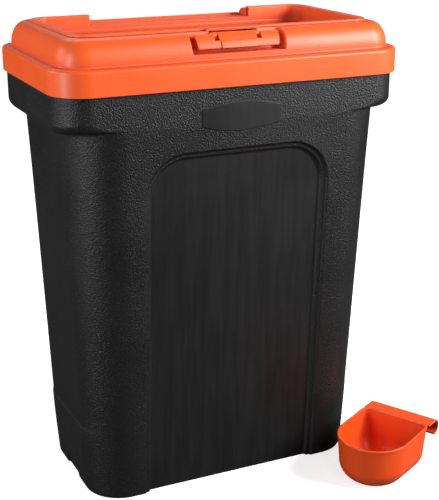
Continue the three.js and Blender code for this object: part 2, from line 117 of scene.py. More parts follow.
def rounded_ring(half_x, half_y, radius, z, centre_x=0.0, centre_y=0.0):
    """Points round a rectangle with rounded corners, in millimetres, anticlockwise from +X."""
    ring = []
    for quarter, (sign_x, sign_y) in enumerate(((1, 1), (-1, 1), (-1, -1), (1, -1))):
        corner = (centre_x + sign_x * (half_x - radius), centre_y + sign_y * (half_y - radius))
        turned = arc(corner, radius, 90 * quarter, 90 * (quarter + 1), CORNER_STEPS)
        ring += [Vector((x, y, z)) for x, y in turned]
    return ring


def shape_ring(shape, grow, z):
    """A ring of a shape named by its half sizes and corner radius, grown on every side."""
    return rounded_ring(shape["x"] + grow, shape["y"] + grow, shape["radius"] + grow, z)


def new_piece(name, points, faces, edges=()):
    """A linked object from points in millimetres."""
    mesh = bpy.data.meshes.new(name)
    mesh.from_pydata([tuple(point * MM) for point in points], edges, faces)
    piece = bpy.data.objects.new(name, mesh)
    bpy.context.scene.collection.objects.link(piece)
    return piece


def loft(name, rings):
    """A closed skin through rings that all have the same number of points."""
    count = len(rings[0])
    faces = []
    for level in range(len(rings) - 1):
        for index in range(count):
            a = level * count + index
            b = level * count + (index + 1) % count
            faces.append((a, b, b + count, a + count))
    last = (len(rings) - 1) * count
    faces.append(tuple(range(count - 1, -1, -1)))
    faces.append(tuple(range(last, last + count)))
    return new_piece(name, [point for ring in rings for point in ring], faces)


def block(name, shape, low, high, grow=0.0):
    """A rounded block of a shape, from one height to another."""
    return loft(name, [shape_ring(shape, grow, z) for z in (low, high)])


print("a ring has", len(rounded_ring(10, 10, 2, 0)), "points")

# %% [markdown]
# ## Joining and cutting
# Pockets, bores and recesses are cut out with boolean modifiers, whose results are taken as
# plain meshes at once. That leaves no chain of helpers behind. A finished piece is shaded
# smooth, keeps the edges that turn sharply, and gets weighted normals so that its broad flat
# faces stay flat next to small roundings.

# %% Boolean and finishing helpers
SHARP_ANGLE = math.radians(32)
PAST = 5.0  # how far a cutting tool reaches past the face it opens


def bake_modifiers(piece):
    """Takes the result of a piece's modifiers as its plain mesh."""
    depsgraph = bpy.context.evaluated_depsgraph_get()
    result = bpy.data.meshes.new_from_object(piece.evaluated_get(depsgraph))
    piece.modifiers.clear()
    piece.data = result


def combine(piece, operation, *tools):
    """Joins pieces to a piece, or cuts them out of it, and removes them."""
    for tool in tools:
        modifier = piece.modifiers.new("boolean", "BOOLEAN")
        modifier.operation = operation
        modifier.solver = "EXACT"
        modifier.object = tool
        bake_modifiers(piece)
        bpy.data.objects.remove(tool)
    return piece


def join(piece, *tools):
    return combine(piece, "UNION", *tools)


def cut(piece, *tools):
    return combine(piece, "DIFFERENCE", *tools)


def box(name, low, high):
    """A closed block between two corners, used only as a tool for joining and cutting."""
    around = ((high[0], high[1]), (low[0], high[1]), (low[0], low[1]), (high[0], low[1]))
    return loft(name, [[Vector((x, y, z)) for x, y in around] for z in (low[2], high[2])])


def bar_along_x(name, radius, start_x, end_x, axis):
    """A round bar along X, round an axis that has a y and a z."""
    around = arc((axis["y"], axis["z"]), radius, 0, 360, ROUND_STEPS)[:-1]
    ends = (min(start_x, end_x), max(start_x, end_x))
    return loft(name, [[Vector((x, *point)) for point in around] for x in ends])


def extent(piece):
    """Lowest and highest corner of a piece, in millimetres."""
    points = [vertex.co / MM for vertex in piece.data.vertices]
    low = [min(point[axis] for point in points) for axis in range(3)]
    high = [max(point[axis] for point in points) for axis in range(3)]
    return low, high


def settle(piece, name):
    """Names a finished piece and sets its shading."""
    piece.name = name
    piece.data.name = name
    piece.data.shade_smooth()
    piece.data.set_sharp_from_angle(angle=SHARP_ANGLE)
    weighted = piece.modifiers.new("weighted normals", "WEIGHTED_NORMAL")
    weighted.keep_sharp = True
    bake_modifiers(piece)
    spans = [round(high - low, 1) for low, high in zip(*extent(piece))]
    print(name, len(piece.data.polygons), "faces, mm:", *spans)
    return piece


# %% [markdown]
# ## Working sizes
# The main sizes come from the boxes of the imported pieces: the frame's skirt, the flap's lip
# and the tub's rim. Walls, corner radii and draft angles aren't in those boxes, so they are
# named here once, in millimetres.

# %% Sizes taken from the frame
def corner_mm(node, high):
    return [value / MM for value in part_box(node)[1 if high else 0]]


SKIRT_X, SKIRT_Y, CREST_Z = corner_mm("lid_frame", True)
SKIRT_BOTTOM = corner_mm("lid_frame", False)[2]
COLLAR_X, RIM_Y, RIM_Z = corner_mm("bin_body", True)
FLAP_TOP = corner_mm("lid_flap", True)[2]
WALL = 2.5
AIR = 0.4
print("lid", SKIRT_X * 2, "x", SKIRT_Y * 2, "crest at", CREST_Z, "rim at", RIM_Z)

# %% [markdown]
# ## Tub
# The tub is one deep injection moulding. It tapers so that it leaves its mould and stacks.
# Its narrow sides swell a little near the foot, and a collar with a rounded ledge stands out
# under the lid. Two lofts, one cut out of the other, give it a wall of even thickness. A
# Solidify modifier would do that too, but the inside here is simpler than the outside.

# %% Tub profile
FOOT = {"x": 167.0, "y": 89.5, "radius": 45.0}
TOP = {"x": 182.2, "y": 112.5, "radius": 55.0, "z": 429.5}
FLOOR_Z = 6.0
FLOOR_ROUND = 6.0
CREASE_Z = 82.0
CREASE_PROUD = 1.8
CREASE_STEPS = ((-2, 1.75), (-1, 1.5), (0.6, 0.5), (1.8, 0.1), (3, 0))
FOOT_INSET = 1.2
FOOT_EDGE = 3.0
FOOT_EDGE_LEAN = 0.4
SWELL_FADE = 1.7
COLLAR_Y = 112.5
COLLAR_RADIUS = 36.0
COLLAR_INNER_RADIUS = 37.5
COLLAR_ROUND = 10.0
COLLAR_TURNS = (12, 24, 36, 48, 60, 70, 80, 90)
LEDGE_SPREAD = 14.0
LEDGE_SAG = 5.5
LEDGE_FILLET = ((0, 3), (0.04, 1.6), (0.14, 0.6), (0.32, 0))
INNER_WALL_Z = (49.2, 160, 280)
INNER_LEDGE_FOOT = (-3, 1.2)
INNER_LEDGE = ((3.1, 9), (4.6, 5.5), (7.5, 2.5), (12, 0))
BEAD_Z = 482.5
RIM_EDGE = 0.8


def tub_ring(z, grow=0.0, swell=0.0):
    """The tapered tub's outline at a height, with a swell on its narrow sides."""
    share = z / TOP["z"]
    half_x = between(FOOT["x"], TOP["x"], share)
    half_y = between(FOOT["y"], TOP["y"], share)
    radius = between(FOOT["radius"], TOP["radius"], share) + SWELL_FADE * swell
    return rounded_ring(half_x + grow + swell, half_y + grow, radius + grow, z)


def front_y(z):
    """Where the tub's sloping front face lies at a height."""
    return -between(FOOT["y"], TOP["y"], z / TOP["z"])


def sagging(ring):
    """Lowers a ring of the ledge on the narrow sides."""
    return [
        Vector((p.x, p.y, p.z - LEDGE_SAG * (1 - min(abs(p.y) / COLLAR_Y, 1) ** 4))) for p in ring
    ]


def collar_ring(turn):
    """A ring on the collar's rounded lower edge: 0 degrees is underneath, 90 is upright."""
    angle = math.radians(turn)
    inset = COLLAR_ROUND * (1 - math.sin(angle))
    rise = COLLAR_ROUND * (1 - math.cos(angle))
    radius = between(COLLAR_RADIUS + LEDGE_SPREAD, COLLAR_RADIUS, math.sin(angle))
    return sagging(rounded_ring(COLLAR_X - inset, COLLAR_Y, radius, TOP["z"] + rise))


def tub_outside():
    rings = []
    for share in shares(4):
        edge = FOOT_EDGE * FOOT_EDGE_LEAN * (1 - math.sin(share * math.pi / 2))
        rings.append(tub_ring(FOOT_EDGE * share, -edge, -FOOT_INSET))
    crease_low, crease_high = (CREASE_Z + CREASE_STEPS[end][0] for end in (0, -1))
    for share in shares(14)[1:-1]:
        swell = between(-FOOT_INSET, CREASE_PROUD, math.sin(share * math.pi / 2))
        rings.append(tub_ring(between(FOOT_EDGE, crease_low, share), 0, swell))
    rings += [tub_ring(CREASE_Z + rise, 0, swell) for rise, swell in CREASE_STEPS]
    for share in shares(5)[1:-1]:
        rings.append(tub_ring(between(crease_high, TOP["z"] - LEDGE_FILLET[0][1], share)))
    # A small hollow fillet leads from the wall into the ledge.
    lower, upper = sagging(tub_ring(TOP["z"])), collar_ring(COLLAR_TURNS[0])
    for share, drop in LEDGE_FILLET:
        down = Vector((0, 0, drop))
        rings.append([a.lerp(b, share) - down for a, b in zip(lower, upper)])
    rings += [collar_ring(turn) for turn in COLLAR_TURNS]
    rings.append(rounded_ring(COLLAR_X, COLLAR_Y, COLLAR_RADIUS, BEAD_Z - 2))
    rings.append(rounded_ring(COLLAR_X, RIM_Y, COLLAR_RADIUS, BEAD_Z))
    rim = {"x": COLLAR_X, "y": RIM_Y, "radius": COLLAR_RADIUS}
    rings += [shape_ring(rim, -inset, RIM_Z - drop) for inset, drop in quarter_round(RIM_EDGE, 3)]
    return loft("tub", rings)


def tub_inside():
    def inner(inset, z):
        return rounded_ring(COLLAR_X - inset, COLLAR_Y - WALL, COLLAR_INNER_RADIUS, z)

    rings = [
        tub_ring(FLOOR_Z + rise, -WALL - edge, -FOOT_INSET)
        for rise, edge in quarter_round(FLOOR_ROUND, 5)
    ]
    rings += [tub_ring(z, -WALL) for z in INNER_WALL_Z]
    rings += [sagging(tub_ring(TOP["z"] + rise, -WALL)) for rise in INNER_LEDGE_FOOT]
    rings += [sagging(inner(WALL + step_in, TOP["z"] + rise)) for rise, step_in in INNER_LEDGE]
    rings += [inner(WALL, RIM_Z - 1), inner(WALL - 0.5, RIM_Z + 1)]
    return loft("tub_inside", rings)


print("tub", 2 * FOOT["x"], "mm wide at its foot and", 2 * TOP["x"], "under the collar")

# %% [markdown]
# ## Front panel and the hollows
# A sunken panel with an arched top runs down the front and out through the foot. Its border
# has two steps with rounded edges. The tool that cuts it is a loft whose rings shrink as they
# go deeper, so the roundings come with the cut, and no bevel has to follow a boolean's edges.

# %% Front panel, side hollows and badge
PANEL_HALF = 108.5
PANEL_TOP = 400.0
PANEL_RADIUS = 48.0
PANEL_FOOT = -20.0
PANEL_TOOL_OUT = 14.0
PANEL_STEPS = (
    (-2.6, -1.6), (-1.5, -0.5), (-0.7, -0.05), (0.1, 0.45), (0.8, 1.3), (1.7, 2.6),
    (2.3, 3.05), (3.1, 3.25), (4.9, 3.3), (5.6, 3.55), (6.2, 4.1), (7.6, 6.3), (8.1, 6.85),
    (8.8, 7.15), (10, 7.2),
)
PANEL_DEPTH = PANEL_STEPS[-1][1]
PANEL_SKIN = ((-0.6, -1), (2, 3), (5.5, 3.3), (8.5, PANEL_DEPTH))
SIDE_HOLLOW = {"half": 24.0, "depth": 3.5, "top_half": 16.8, "top": 32.0, "corner": 6.0}
BADGE = {"half": 45.5, "z": 434.5, "end_height": 17.3, "mid_height": 30.5}
BADGE_PROUD = 1.0
BADGE_EDGE = 0.35
BADGE_ROOT = 1.5


def panel_ring(inset, depth):
    """The panel's outline laid into the sloping front face, a depth behind it."""
    half, radius, top = PANEL_HALF - inset, PANEL_RADIUS - inset, PANEL_TOP - inset
    outline = [(-half, PANEL_FOOT), (half, PANEL_FOOT)]
    for side, start in ((1, 0), (-1, 90)):
        corner = (side * (half - radius), top - radius)
        outline += arc(corner, radius, start, start + 90, CORNER_STEPS)
    return [Vector((x, front_y(z) + depth, z)) for x, z in outline]


def panel_recess(name, steps, grow):
    """The tool that sinks the panel, or with grow the skin that stays behind it."""
    rings = [panel_ring(inset - grow, depth + grow) for inset, depth in steps]
    rings.insert(0, panel_ring(steps[0][0] - grow, -PANEL_TOOL_OUT))
    return loft(name, rings[::-1])


def side_hollows(grow):
    """The shallow hollows between the feet of the narrow sides."""
    def ring(side, z, depth, half_y):
        inner = between(FOOT["x"], TOP["x"], z / TOP["z"]) - FOOT_INSET - depth - grow
        outer = TOP["x"] + 20
        middle = side * (outer + inner) / 2
        return rounded_ring((outer - inner) / 2, half_y + grow, SIDE_HOLLOW["corner"], z, middle)

    foot = (-1, SIDE_HOLLOW["depth"], SIDE_HOLLOW["half"])
    top = (SIDE_HOLLOW["top"] + grow, -FOOT_INSET - CREASE_PROUD, SIDE_HOLLOW["top_half"])
    return [loft("side_hollow", [ring(side, *foot), ring(side, *top)]) for side in (1, -1)]


def badge_plate():
    """A plain raised plate on the collar's front, with arched upper and lower edges."""
    proud, edge = BADGE_PROUD, BADGE_EDGE
    rounding = ((0, proud - edge), (edge * 0.3, proud - edge * 0.3), (edge, proud))
    rings = []
    for inset, forward in ((0, -BADGE_ROOT), *rounding):
        ring = []
        for side in (1, -1):
            for share in shares(20):
                x = side * (1 - 2 * share)
                height = between(BADGE["end_height"], BADGE["mid_height"], 1 - x * x) / 2 - inset
                out, z = x * (BADGE["half"] - inset), BADGE["z"] + side * height
                ring.append(Vector((out, -COLLAR_Y - forward, z)))
        rings.append(ring)
    return loft("badge", rings)


print("panel", 2 * PANEL_HALF, "mm wide, sunk", PANEL_DEPTH, "mm")

# %% Tub made
HOLLOW = {"x": FOOT["x"] - 22, "y": FOOT["y"] - 18, "radius": 30.0, "height": 3.2}


def make_tub():
    inside = cut(tub_inside(), panel_recess("skin", PANEL_SKIN, WALL), *side_hollows(WALL))
    tub = cut(tub_outside(), panel_recess("recess", PANEL_STEPS, 0), *side_hollows(0))
    cut(tub, inside, block("underside", HOLLOW, -1, HOLLOW["height"]))
    return settle(join(tub, badge_plate()), "tub")


tub = make_tub()

# %% [markdown]
# ## Lid frame
# The frame is a ring with a U-shaped section: a skirt outside the tub's rim, a rounded
# shoulder above it, and a well wall inside that ends in a ledge for the flap's seal. Its
# outside and the hollow under it are the same form, once at full size and once a wall smaller.

# %% Lid frame profile
SKIRT_RADIUS = 38.0
SKIRT_TOP = 493.1
SKIRT_EDGE = 3.5
SKIRT_FOOT = ((0.7, 0), (0.2, 0.2), (0, 0.7))
TIER = {"x": 190.0, "y": 108.0, "radius": 30.0, "z": 496.0}
TIER_FILLET = ((-1.4, 0.1), (-0.5, 0.5), (-0.1, 1.2), (0, 2))
CREST_DROP = 16.0
WELL = {"x": 169.5, "y": 82.2, "radius": 19.0}
WELL_EDGE = 1.2
LEDGE = {"x": 160.5, "y": 73.0, "radius": 14.0, "top": 497.2}


def shoulder_y(z):
    """How far the front shoulder stands from the middle at a height."""
    rise = (z - TIER["z"]) / (CREST_Z - TIER["z"])
    return TIER["y"] - CREST_DROP * (1 - math.sqrt(max(1 - rise * rise, 0)))


def frame_form(name, thick):
    """The frame's outer form, or with a wall's thickness the hollow under it."""
    skirt = {"x": SKIRT_X, "y": SKIRT_Y, "radius": SKIRT_RADIUS}

    def tier(inset, z):
        radius = TIER["radius"] - inset * 0.7 - thick
        return rounded_ring(TIER["x"] - inset - thick, TIER["y"] - inset - thick, radius, z)

    top = SKIRT_TOP - thick
    foot = ((0, -1),) if thick else SKIRT_FOOT
    rings = [shape_ring(skirt, -inset - thick, SKIRT_BOTTOM + rise) for inset, rise in foot]
    for inset, drop in quarter_round(SKIRT_EDGE, 6):
        rings.append(shape_ring(skirt, -inset - thick, top - drop))
    rings += [tier(inset, top + rise) for inset, rise in TIER_FILLET]
    crest = CREST_Z - thick - TIER["z"]
    for inset, drop in quarter_round(1, 16)[1:]:
        rings.append(tier(CREST_DROP * inset, TIER["z"] + crest * (1 - drop)))
    return loft(name, rings)


print("frame skirt", SKIRT_TOP - SKIRT_BOTTOM, "mm deep")

# %% [markdown]
# ## Pocket, saddle and hinge notch
# The latch hangs in a pocket of the front shoulder whose ends splay open, and the flap's
# hinge barrel lies in a notch of the back crest. Each space is one tool that is used twice:
# at its own size it cuts the frame, and grown by a wall it trims the hollow behind it.

# %% Spaces in the frame
POCKET = {"top_half": 51.5, "bottom_half": 49.0, "bottom": 499.5, "top_y": -88.5, "bottom_y": -94.0}
POCKET_SPLAY = 0.3
SADDLE = {"half": 27.5, "floor": 511.0}
HINGE = {"y": 101.0, "z": 509.5, "barrel": 4.5, "half": 97.5, "bore": 1.8}
NOTCH = {"half": 100.0, "floor": 503.0, "ledge_top": 511.0}
LUG = {"width": 12.0, "pin_in_lug": 8.0, "pin_in_barrel": 16.0}


def pocket_void(grow):
    """The latch's pocket, with the saddle behind it that the flap's tab rests in."""
    def ring(half, back_y, z):
        back, front = back_y + grow, -SKIRT_Y - 10
        plain = rounded_ring(half + grow, (back - front) / 2, 1.5, z, 0, (back + front) / 2)
        return [Vector((p.x * (1 + POCKET_SPLAY * (back - p.y) / half), p.y, z)) for p in plain]

    rings = [ring(POCKET["bottom_half"], POCKET["bottom_y"], POCKET["bottom"] - grow)]
    rings += [ring(POCKET["top_half"], POCKET["top_y"], z) for z in (CREST_Z, CREST_Z + PAST)]
    half = SADDLE["half"] + grow
    low = (-half, POCKET["bottom_y"] - 4, SADDLE["floor"] - grow)
    return join(loft("pocket", rings), box("saddle", low, (half, -WELL["y"] + 4, CREST_Z + 4)))


def hinge_notch(grow):
    """The notch in the back crest that the hinge barrel lies in."""
    half = NOTCH["half"] + grow
    low = (-half, WELL["y"] - 6, NOTCH["floor"] - grow)
    return box("notch", low, (half, SKIRT_Y + PAST, CREST_Z + 6))


def make_lid_frame():
    well_tube = block("well_tube", WELL, LEDGE["top"] - WALL, CREST_Z + PAST, WALL)
    form = frame_form("hollow", WALL)
    hollow = cut(form, well_tube, pocket_void(WALL), hinge_notch(LUG["width"]))
    rings = [shape_ring(WELL, 0, LEDGE["top"])]
    rings += [shape_ring(WELL, grow, CREST_Z - drop) for grow, drop in quarter_round(WELL_EDGE, 4)]
    rings.append([point + Vector((0, 0, PAST)) for point in rings[-1]])
    mouth = block("mouth", LEDGE, SKIRT_BOTTOM - 2, CREST_Z + 3)
    reach = NOTCH["half"] + LUG["pin_in_lug"] + 0.5
    pin_hole = bar_along_x("pin_hole", HINGE["bore"], -reach, reach, HINGE)
    shell = cut(frame_form("lid_shell", 0), hollow, loft("well_void", rings), mouth)
    return settle(cut(shell, pocket_void(0), hinge_notch(0), pin_hole), "lid_shell")


lid_shell = make_lid_frame()

# %% [markdown]
# ## Flap
# The flap is a shallow tray with a lip that lies on the crest. A long barrel at its back
# turns on two pins, and two ears at its front carry the latch. It is lofted like the frame,
# with a fillet round the tray's floor where food dust is wiped out.

# %% Flap made
LIP = {"x": 172.0, "y": 84.0, "radius": 21.0, "thick": 2.2, "edge": 0.9}
TRAY = {"x": 164.0, "y": 76.0, "radius": 15.0, "floor": 502.9, "wall": 2.4}
TRAY_FILLET = 4.0
TRAY_EDGE = 1.5
LATCH = {"y": -94.5, "z": 516.3, "barrel": 3.2, "half": 21.3, "bore": 1.6}
EAR = {"inner": 21.7, "outer": 26.5}
TAB = {"half": 30.0, "y": -89.2}


def flap_ear(side):
    """An ear at the flap's front edge that holds one end of the latch pin."""
    near, far, radius = side * EAR["inner"], side * EAR["outer"], LATCH["barrel"]
    low = (min(near, far), LATCH["y"], LATCH["z"] - radius)
    arm = box("ear", low, (max(near, far), -TRAY["y"] - 1, LATCH["z"] + radius))
    return join(arm, bar_along_x("ear_end", radius, near, far, LATCH))


def lip_form():
    rings = [shape_ring(LIP, 0, FLAP_TOP - LIP["thick"])]
    for inset, drop in quarter_round(LIP["edge"], 4):
        rings.append(shape_ring(LIP, -inset, FLAP_TOP - drop))
    return loft("flap", rings)


def tray_hollow():
    fillet, edge = quarter_round(TRAY_FILLET, 6), quarter_round(TRAY_EDGE, 4)
    rings = [shape_ring(TRAY, -inset, TRAY["floor"] + rise) for rise, inset in fillet]
    rings += [shape_ring(TRAY, grow, FLAP_TOP - drop) for grow, drop in edge]
    rings.append(shape_ring(TRAY, TRAY_EDGE, FLAP_TOP + 2))
    return loft("tray_hollow", rings)


def make_flap():
    tray = block("tray", TRAY, TRAY["floor"] - TRAY["wall"], FLAP_TOP - 0.5, TRAY["wall"])
    tab_low = (-TAB["half"], TAB["y"], FLAP_TOP - LIP["thick"])
    tab = box("tab", tab_low, (TAB["half"], -TRAY["y"], FLAP_TOP - 0.01))
    cut_low = (-NOTCH["half"], TRAY["y"] - 8, NOTCH["ledge_top"])
    back_cut = box("back_cut", cut_low, (NOTCH["half"], SKIRT_Y, FLAP_TOP + PAST))
    flap = cut(join(lip_form(), tab, tray), tray_hollow(), back_cut)
    half = HINGE["half"]
    tongue_low = (-half, TRAY["y"], NOTCH["ledge_top"] - TRAY["wall"])
    tongue = box("tongue", tongue_low, (half, HINGE["y"], NOTCH["ledge_top"]))
    barrel = bar_along_x("barrel", HINGE["barrel"], -half, half, HINGE)
    join(flap, tongue, barrel, flap_ear(1), flap_ear(-1))
    for side in (1, -1):
        open_end, deep_end = side * (half + 1), side * (half - LUG["pin_in_barrel"] - 0.5)
        cut(flap, bar_along_x("bore", HINGE["bore"], open_end, deep_end, HINGE))
    reach = EAR["outer"] - 1
    cut(flap, bar_along_x("latch_bore", LATCH["bore"], -reach, reach, LATCH))
    return settle(flap, "flap")


flap = make_flap()

# %% [markdown]
# ## Latch plate
# The latch follows the curve of the shoulder, so that it looks like part of it when shut. Its
# middle stands a little proud for the fingers. It hangs on a short barrel between the ears,
# and its wings are cut away round them.

# %% Latch made
PLATE = {"top_half": 48.0, "bottom_half": 46.0, "top": 518.6, "bottom": 504.5, "thick": 2.4}
PLATE_THINNED = 0.7
LATCH_SUNK = 0.8
LATCH_RAISED = 1.2


def shoulder_plate(name, top_half, bottom_half, top, proud):
    """A plate that follows the front shoulder, proud of it or sunk below it."""
    rings = []
    for share in shares(14):
        z = between(PLATE["bottom"], top, share)
        thick = PLATE["thick"] - (PLATE_THINNED if share in (0, 1) else 0)
        middle_y = PLATE["thick"] / 2 - shoulder_y(z) - proud
        half = between(bottom_half, top_half, share)
        rings.append(rounded_ring(half, thick / 2, 0.7, z, 0, middle_y))
    return loft(name, rings)


def make_latch():
    half, y, z, barrel = LATCH["half"], LATCH["y"], LATCH["z"], LATCH["barrel"]
    ends = (PLATE["top_half"], PLATE["bottom_half"])
    wings = shoulder_plate("latch", *ends, PLATE["top"], -LATCH_SUNK)
    middle = shoulder_plate("middle", half - 1, half - 1, z - 4, LATCH_RAISED - LATCH_SUNK)
    bar = bar_along_x("barrel", barrel, -half, half, LATCH)
    web = box("web", (-half, -shoulder_y(z) + PLATE["thick"], z - barrel), (half, y, z))
    latch = join(wings, middle, bar, web)
    for side in (-1, 1):
        near, far = side * half, side * (EAR["outer"] + AIR)
        low = (min(near, far), -SKIRT_Y, z - barrel - 1)
        cut(latch, box("ear_room", low, (max(near, far), y + 10, PLATE["top"] + PAST)))
    cut(latch, bar_along_x("bore", LATCH["bore"], -half - 1, half + 1, LATCH))
    return settle(latch, "latch_plate")


latch = make_latch()

# %% [markdown]
# ## Scoop
# The scoop is a D-shaped cup: a straight back, a half-round nose and a big rounding under it,
# with a bridge at the back that curls down into a hook. It is built square to the axes and
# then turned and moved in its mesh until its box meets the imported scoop's box.

# %% Scoop made
CUP = {"half": 43.0, "back": -19.5, "nose": -116.0, "height": 57.7, "nose_drop": 3.0}
CUP_TAPER = 2.5
CUP_ROUND = 24.0
CUP_WALL = 2.0
CUP_RIM = {"proud": 0.3, "height": 3.0}
HOOK = {"half": 43.3, "reach": 24.5, "radius": 8.0, "thick": 2.0, "drop": 18.5, "curl": 120}
HOOK_CORNER = 9.0
SCOOP_TURN = math.radians(-61.5)


def cup_ring(inset, z, slope=0.0):
    """The cup's D-shaped outline. With a slope it lies lower towards the nose."""
    half, back = CUP["half"] - inset, CUP["back"] - inset
    outline = arc((0, CUP["nose"] + CUP["half"]), half, 180, 360, CORNER_STEPS * 3)
    corner = max(8 - inset * 0.3, 1.5)
    for side, start in ((1, 0), (-1, 90)):
        middle = (side * (half - corner), back - corner)
        outline += arc(middle, corner, start, start + 90, CORNER_STEPS)
    length = CUP["back"] - CUP["nose"]
    return [Vector((x, y, z - slope * (CUP["back"] - y) / length)) for x, y in outline]


def cup_form(name, wall):
    """The cup's outer form, or with a wall's thickness the room inside it."""
    rings = []
    for rise, inset in quarter_round(CUP_ROUND, 12):
        rings.append(cup_ring(CUP_TAPER + wall + inset, wall + rise))
    mouth = CUP["height"] + (1 if wall else 0)
    rings.append(cup_ring(wall, mouth, CUP["nose_drop"]))
    return loft(name, rings)


def hook_form():
    """The bridge and hook: one section through both, drawn along the cup's width."""
    top, radius, thick, curl = CUP["height"], HOOK["radius"], HOOK["thick"], HOOK["curl"]
    end, start, half = CUP["back"] + HOOK["reach"], CUP["back"] - 1, HOOK["half"]
    high, low = (end - radius, top - radius), (end - radius, top - HOOK["drop"] + radius)
    section = [(start, top)] + arc(high, radius, 90, 0, 12) + arc(low, radius, 0, -curl, 16)
    section += arc(low, radius - thick, -curl, 0, 16) + arc(high, radius - thick, 0, 90, 12)
    section.append((start, top - thick))
    hook = loft("hook", [[Vector((x, y, z)) for y, z in section[::-1]] for x in (-half, half)])
    # One outer corner of the bridge is well rounded, seen from above.
    corner = HOOK_CORNER
    outline = [(-half - 1, start - 1), (half + 1, start - 1), (half + 1, end + 0.5)]
    outline.append((corner - half, end + 0.5))
    outline += arc((corner - half, end - corner), corner, 90, 180, 14)
    outline.append((-half - 0.001, start - 0.5))
    column = loft("column", [[Vector((x, y, z)) for x, y in outline] for z in (-1, top + 1)])
    return combine(hook, "INTERSECT", column)


def make_scoop():
    heights = (CUP["height"] - CUP_RIM["height"], CUP["height"])
    band = loft("band", [cup_ring(-CUP_RIM["proud"], z, CUP["nose_drop"]) for z in heights])
    scoop = cut(join(cup_form("scoop", 0), band, hook_form()), cup_form("cup_inside", CUP_WALL))
    scoop.data.transform(Matrix.Rotation(SCOOP_TURN, 4, "Z"))
    built, packed = extent(scoop)[0], corner_mm("scoop", False)
    shift = Vector((packed[0] - built[0], packed[1] - built[1], 0)) * MM
    scoop.data.transform(Matrix.Translation(shift))
    return settle(scoop, "scoop_cup")


scoop = make_scoop()

# %% [markdown]
# ## Ribs
# Thin ribs stiffen the two broad flat floors: the tub's, where it stands on the ground, and
# the flap's tray. Each rib is drawn thinner towards its free edge so that it leaves its mould.
# A rib is the same body many times over, so Geometry Nodes make a grid of them from a count,
# a length and a gap. An array modifier could too, but the grid needs two rows that cross.

# %% Node helpers
def feed(tree, sockets, values):
    """Gives sockets their values by name, or links them where the value is itself a socket."""
    for name, value in values.items():
        if isinstance(value, bpy.types.NodeSocket):
            tree.links.new(value, sockets[name])
        else:
            sockets[name].default_value = value


def add(tree, kind, inputs=None, **settings):
    """Adds a node to a tree, feeds its inputs and gives back its outputs."""
    node = tree.nodes.new(kind)
    for name, value in settings.items():
        setattr(node, name, value)
    feed(tree, node.inputs, inputs or {})
    return node.outputs


def new_tree(name, kind, inputs, outputs):
    """A node group with named inputs and outputs, what it is given and what it gives back."""
    tree = bpy.data.node_groups.new(name, kind)
    for label, (socket, value) in inputs.items():
        made = tree.interface.new_socket(label, in_out="INPUT", socket_type="NodeSocket" + socket)
        if value is not None:
            made.default_value = value
    for label, socket in outputs.items():
        tree.interface.new_socket(label, in_out="OUTPUT", socket_type="NodeSocket" + socket)
    return tree, tree.nodes.new("NodeGroupInput").outputs, tree.nodes.new("NodeGroupOutput").inputs


def maths(tree, operation, first, second=0.0):
    return add(tree, "ShaderNodeMath", {0: first, 1: second}, operation=operation)[0]


def vector(tree, x=0.0, y=0.0, z=0.0):
    return add(tree, "ShaderNodeCombineXYZ", {0: x, 1: y, 2: z})[0]


def remap(tree, value, low=0.0, high=1.0, to_low=0.0, to_high=1.0):
    """A value moved from one range to another, and held inside it."""
    ends = {"From Min": low, "From Max": high, "To Min": to_low, "To Max": to_high}
    return add(tree, "ShaderNodeMapRange", {"Value": value, **ends})[0]


def with_material(tree, geometry, material):
    """Realizes instances, because an export drops them, and gives them their material."""
    realized = add(tree, "GeometryNodeRealizeInstances", {0: geometry})[0]
    return add(tree, "GeometryNodeSetMaterial", {"Geometry": realized, "Material": material})[0]


print("node helpers ready in Blender", bpy.app.version_string)

# %% Rib row tree
RIB_INPUTS = {
    "Count": ("Int", 4),
    "Gap": ("Float", 0.04),
    "Length": ("Float", 0.2),
    "Height": ("Float", 0.003),
    "Thickness": ("Float", 0.0015),
    "Draft": ("Float", 0.3),
    "Turn": ("Float", 0.0),
}
tree, given, result = new_tree("rib_row", "GeometryNodeTree", RIB_INPUTS, {"Ribs": "Geometry"})
size = vector(tree, given["Length"], given["Thickness"], given["Height"])
slab = add(tree, "GeometryNodeMeshCube", {"Size": size})[0]
x, y, z = add(tree, "ShaderNodeSeparateXYZ", {0: add(tree, "GeometryNodeInputPosition")[0]})
half_height = maths(tree, "MULTIPLY", given["Height"], 0.5)
below = maths(tree, "MULTIPLY", half_height, -1.0)
thinned = maths(tree, "SUBTRACT", 1.0, given["Draft"])
drafted_y = maths(tree, "MULTIPLY", y, remap(tree, z, below, half_height, thinned, 1.0))
drafted = vector(tree, x, drafted_y, z)
rib = add(tree, "GeometryNodeSetPosition", {"Geometry": slab, "Position": drafted})[0]
reach = maths(tree, "MULTIPLY", maths(tree, "SUBTRACT", given["Count"], 1.0), given["Gap"])
start = vector(tree, y=maths(tree, "MULTIPLY", reach, -0.5))
offset = vector(tree, y=given["Gap"])
places = {"Count": given["Count"], "Start Location": start, "Offset": offset}
line = add(tree, "GeometryNodeMeshLine", places)[0]
spread = add(tree, "GeometryNodeInstanceOnPoints", {"Points": line, "Instance": rib})[0]
turned_row = {"Geometry": spread, "Rotation": vector(tree, z=given["Turn"])}
placed = add(tree, "GeometryNodeTransform", turned_row)[0]
feed(tree, result, {"Ribs": add(tree, "GeometryNodeRealizeInstances", {0: placed})[0]})
rib_row = tree
print("rib row:", len(tree.nodes), "nodes")

